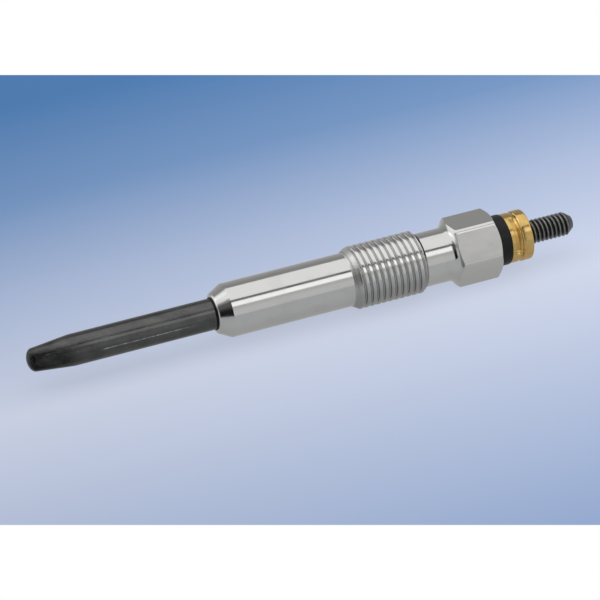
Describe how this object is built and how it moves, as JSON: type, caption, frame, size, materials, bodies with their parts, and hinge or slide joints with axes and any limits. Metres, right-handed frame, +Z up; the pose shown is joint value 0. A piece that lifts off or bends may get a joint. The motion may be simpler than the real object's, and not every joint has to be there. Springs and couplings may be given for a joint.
{
  "type": "diesel glow plug",
  "caption": "Sheathed diesel glow plug: tapered heater tube, conical seat, plain barrel, fine-threaded body with a hexagon, insulating washer, round brass nut and threaded terminal stud.",
  "frame": {"origin": "on the floor, below the middle of the plug's length, as it lies on a flat of its hexagon", "axes": "+X along the plug from the glow tip to the terminal stud, +Z up, square to the hexagon flat that it lies on, and +Y level, across the plug"},
  "size_m": [0.0892, 0.0112, 0.0099],
  "materials": {
    "plated_steel": "bright plated, fine turned",
    "oxidised_alloy": "oxidised by heat, satin",
    "black_plastic": "moulded, satin black",
    "brass": "turned and polished",
    "blackened_steel": "blackened, lightly oiled",
    "heating_wire": "drawn wire",
    "regulating_wire": "drawn wire",
    "insulating_powder": "compacted powder",
    "seal_rubber": "moulded, matt"
  },
  "bodies": {
    "root": {"plug_body": "plated_steel", "glow_tube": "oxidised_alloy", "insulating_washer": "black_plastic", "round_nut": "brass", "terminal_pin": "blackened_steel", "heating_coil": "heating_wire", "regulating_coil": "regulating_wire", "filling_powder": "insulating_powder", "tube_seal": "seal_rubber", "body_seal": "seal_rubber"}
  },
  "joints": []
}
